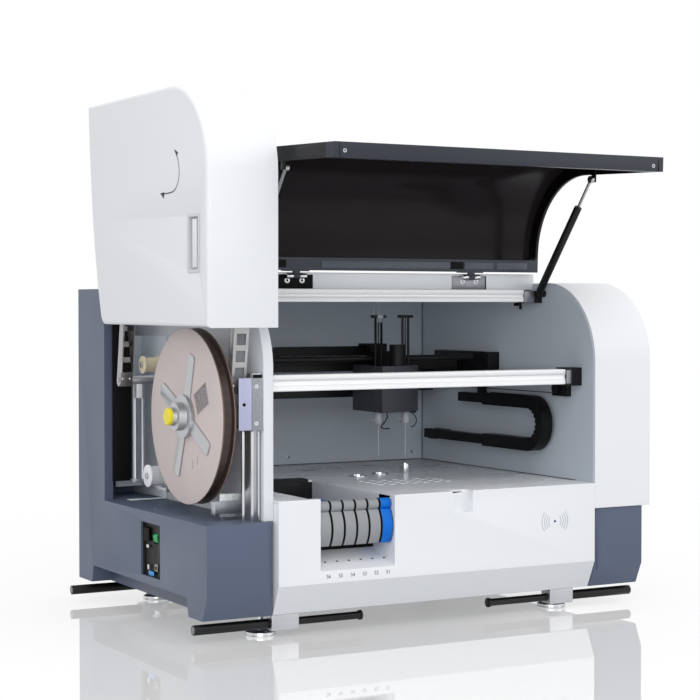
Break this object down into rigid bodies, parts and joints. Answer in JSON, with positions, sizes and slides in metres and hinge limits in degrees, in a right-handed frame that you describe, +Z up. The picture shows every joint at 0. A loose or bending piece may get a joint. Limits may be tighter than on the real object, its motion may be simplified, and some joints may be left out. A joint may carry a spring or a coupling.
{
  "type": "coagulation analyzer",
  "caption": "Bench coagulation analyzer with a raised side cover over a cuvette reel, an open smoked lid, a sampling gantry, sample racks and pull-out carry bars.",
  "frame": {"origin": "on the bench under the middle of the whole, with the lid and side cover open", "axes": "+X to the right seen from the front, +Y to the back, +Z up"},
  "size_m": [1.0344, 0.886, 0.9963],
  "materials": {
    "dark_shell": "satin blue-grey paint",
    "white_shell": "smooth white",
    "white_sheet": "white paint",
    "liner_sheet": "blue-grey paint",
    "rear_sheet": "light grey paint",
    "black_plastic": "matt black",
    "black_gloss": "gloss black",
    "steel": "brushed",
    "white_bar": "white coated aluminium",
    "black_metal": "matt black",
    "chain_black": "matt black",
    "block_grey": "satin",
    "chrome_foot": "polished",
    "board_green": "matt",
    "arm_metal": "satin",
    "silver_plastic": "silver",
    "smoked_window": "smoked clear",
    "head_grey": "dark grey",
    "rack_grey": "matt grey",
    "rack_blue": "matt blue",
    "reel_board": "matt board",
    "hub_silver": "satin",
    "cap_yellow": "yellow",
    "roller_cream": "cream",
    "roller_white": "white",
    "bar_black": "black",
    "switch_green": "green"
  },
  "bodies": {
    "base": {"base_housing": "dark_shell", "front_panel": "white_shell", "right_cover": "white_shell", "chamber_liner": "liner_sheet", "left_bulkhead": "white_sheet", "roof_panel": "white_sheet", "deck": "white_sheet", "rack_bay": "white_sheet", "rear_cover": "rear_sheet", "tube_reader": "black_plastic", "io_panel": "black_plastic", "wash_wells": "steel", "roof_hinge_leaves": "steel", "cover_pivot_posts": "steel", "reel_carrier": "steel", "upper_crossbar": "white_bar", "lower_crossbar": "white_bar", "crossbar_brackets": "black_metal", "y_axis_unit": "black_metal", "y_chain_fixed": "chain_black", "carry_bar_blocks": "block_grey", "levelling_feet": "chrome_foot", "electronics_tray": "board_green"},
    "front_swing_arm": {"front_arm": "arm_metal"},
    "rear_swing_arm": {"rear_arm": "arm_metal"},
    "raised_cover": {"side_cover": "white_shell", "side_cover_handle": "silver_plastic", "side_cover_brackets": "steel"},
    "lid": {"lid_frame": "black_gloss", "lid_window": "smoked_window"},
    "cylinder_left": {"strut_cylinder_left": "black_metal"},
    "piston_left": {"strut_rod_left": "steel"},
    "needle_left": {"probe_left": "steel"},
    "cylinder_right": {"strut_cylinder_right": "black_metal"},
    "piston_right": {"strut_rod_right": "steel"},
    "needle_right": {"probe_right": "steel"},
    "bridge": {"bridge_beam": "black_metal", "bridge_chain_runs": "chain_black"},
    "side_chain_bend": {"y_chain_bend": "chain_black"},
    "rear_chain_bend": {"x_chain_bend": "chain_black"},
    "head": {"head_block": "black_plastic", "head_cover": "head_grey", "wash_stations": "silver_plastic", "x_chain_moving": "chain_black"},
    "rack_slider_1": {"rack_1": "rack_grey"},
    "rack_slider_2": {"rack_2": "rack_grey"},
    "rack_slider_3": {"rack_3": "rack_grey"},
    "rack_slider_4": {"rack_4": "rack_grey"},
    "rack_slider_5": {"rack_5": "rack_grey"},
    "rack_slider_6": {"rack_6": "rack_blue"},
    "reel": {"reel_spool": "reel_board", "reel_hub": "hub_silver", "reel_cap": "cap_yellow"},
    "upper_tape_roller": {"roller_upper": "roller_cream"},
    "lower_tape_roller": {"roller_lower": "roller_white"},
    "bar_front_left": {"carry_bar_front_left": "bar_black"},
    "bar_front_right": {"carry_bar_front_right": "bar_black"},
    "bar_rear_left": {"carry_bar_rear_left": "bar_black"},
    "bar_rear_right": {"carry_bar_rear_right": "bar_black"},
    "rocker": {"power_switch": "switch_green"}
  },
  "joints": [
    {"name": "cover_swing", "type": "hinge", "parent": "base", "child": "front_swing_arm", "pos_m": [-0.4005, -0.18204, 0.455], "axis": [1, 0, 0], "range_deg": [0, 177.2]},
    {"name": "rear_arm_swing", "type": "hinge", "parent": "base", "child": "rear_swing_arm", "pos_m": [-0.462, 0.19596, 0.455], "axis": [1, 0, 0], "range_deg": [0, 177.25]},
    {"name": "cover_level", "type": "hinge", "parent": "front_swing_arm", "child": "raised_cover", "pos_m": [-0.4005, -0.20775, 0.62913], "axis": [1, 0, 0], "range_deg": [-177.25, 0]},
    {"name": "lid_hinge", "type": "hinge", "parent": "base", "child": "lid", "pos_m": [0, -0.02704, 0.658], "axis": [1, 0, 0], "range_deg": [0, 88]},
    {"name": "strut_left_swing", "type": "hinge", "parent": "base", "child": "cylinder_left", "pos_m": [-0.3277, -0.06004, 0.625], "axis": [1, 0, 0], "range_deg": [0, 97.69]},
    {"name": "strut_left_stroke", "type": "slide", "parent": "cylinder_left", "child": "piston_left", "axis": [0, -0.6217, 0.7833], "range_m": [-0.04837, 0]},
    {"name": "strut_right_swing", "type": "hinge", "parent": "base", "child": "cylinder_right", "pos_m": [0.3438, -0.06004, 0.625], "axis": [1, 0, 0], "range_deg": [0, 97.69]},
    {"name": "strut_right_stroke", "type": "slide", "parent": "cylinder_right", "child": "piston_right", "axis": [0, -0.6217, 0.7833], "range_m": [-0.04837, 0]},
    {"name": "bridge_travel", "type": "slide", "parent": "base", "child": "bridge", "axis": [0, 1, 0], "range_m": [-0.2, 0.09]},
    {"name": "side_chain_travel", "type": "slide", "parent": "base", "child": "side_chain_bend", "axis": [0, 1, 0], "range_m": [-0.1, 0.045]},
    {"name": "head_travel", "type": "slide", "parent": "bridge", "child": "head", "axis": [1, 0, 0], "range_m": [-0.3, 0.13]},
    {"name": "rear_chain_travel", "type": "slide", "parent": "bridge", "child": "rear_chain_bend", "axis": [1, 0, 0], "range_m": [-0.15, 0.065]},
    {"name": "probe_left_lift", "type": "slide", "parent": "head", "child": "needle_left", "axis": [0, 0, 1], "range_m": [-0.06, 0.02]},
    {"name": "probe_right_lift", "type": "slide", "parent": "head", "child": "needle_right", "axis": [0, 0, 1], "range_m": [-0.06, 0.02]},
    {"name": "rack_1_pull", "type": "slide", "parent": "base", "child": "rack_slider_1", "axis": [0, -1, 0], "range_m": [0, 0.22]},
    {"name": "rack_2_pull", "type": "slide", "parent": "base", "child": "rack_slider_2", "axis": [0, -1, 0], "range_m": [0, 0.22]},
    {"name": "rack_3_pull", "type": "slide", "parent": "base", "child": "rack_slider_3", "axis": [0, -1, 0], "range_m": [0, 0.22]},
    {"name": "rack_4_pull", "type": "slide", "parent": "base", "child": "rack_slider_4", "axis": [0, -1, 0], "range_m": [0, 0.22]},
    {"name": "rack_5_pull", "type": "slide", "parent": "base", "child": "rack_slider_5", "axis": [0, -1, 0], "range_m": [0, 0.22]},
    {"name": "rack_6_pull", "type": "slide", "parent": "base", "child": "rack_slider_6", "axis": [0, -1, 0], "range_m": [0, 0.22]},
    {"name": "reel_spin", "type": "hinge", "parent": "base", "child": "reel", "pos_m": [-0.43, -0.05704, 0.397], "axis": [1, 0, 0], "continuous": true},
    {"name": "upper_roller_spin", "type": "hinge", "parent": "base", "child": "upper_tape_roller", "pos_m": [-0.428, 0.14696, 0.486], "axis": [1, 0, 0], "continuous": true},
    {"name": "lower_roller_spin", "type": "hinge", "parent": "base", "child": "lower_tape_roller", "pos_m": [-0.428, 0.12196, 0.272], "axis": [1, 0, 0], "continuous": true},
    {"name": "bar_front_left_pull", "type": "slide", "parent": "base", "child": "bar_front_left", "axis": [-1, 0, 0], "range_m": [0, 0.13]},
    {"name": "bar_front_right_pull", "type": "slide", "parent": "base", "child": "bar_front_right", "axis": [1, 0, 0], "range_m": [0, 0.13]},
    {"name": "bar_rear_left_pull", "type": "slide", "parent": "base", "child": "bar_rear_left", "axis": [-1, 0, 0], "range_m": [0, 0.13]},
    {"name": "bar_rear_right_pull", "type": "slide", "parent": "base", "child": "bar_rear_right", "axis": [1, 0, 0], "range_m": [0, 0.13]},
    {"name": "switch_rock", "type": "hinge", "parent": "base", "child": "rocker", "pos_m": [-0.466, 0.01796, 0.164], "axis": [0, 1, 0], "range_deg": [0, 16]}
  ],
  "couplings": [
    {"joint": "rear_arm_swing", "follows": "cover_swing", "ratio": 1},
    {"joint": "cover_level", "follows": "cover_swing", "ratio": -1},
    {"joint": "strut_left_swing", "follows": "lid_hinge", "ratio": 1.109},
    {"joint": "strut_left_stroke", "follows": "lid_hinge", "m_per_rad": -0.031365},
    {"joint": "strut_right_swing", "follows": "lid_hinge", "ratio": 1.109},
    {"joint": "strut_right_stroke", "follows": "lid_hinge", "m_per_rad": -0.031365},
    {"joint": "side_chain_travel", "follows": "bridge_travel", "ratio": 0.5},
    {"joint": "rear_chain_travel", "follows": "head_travel", "ratio": 0.5}
  ]
}
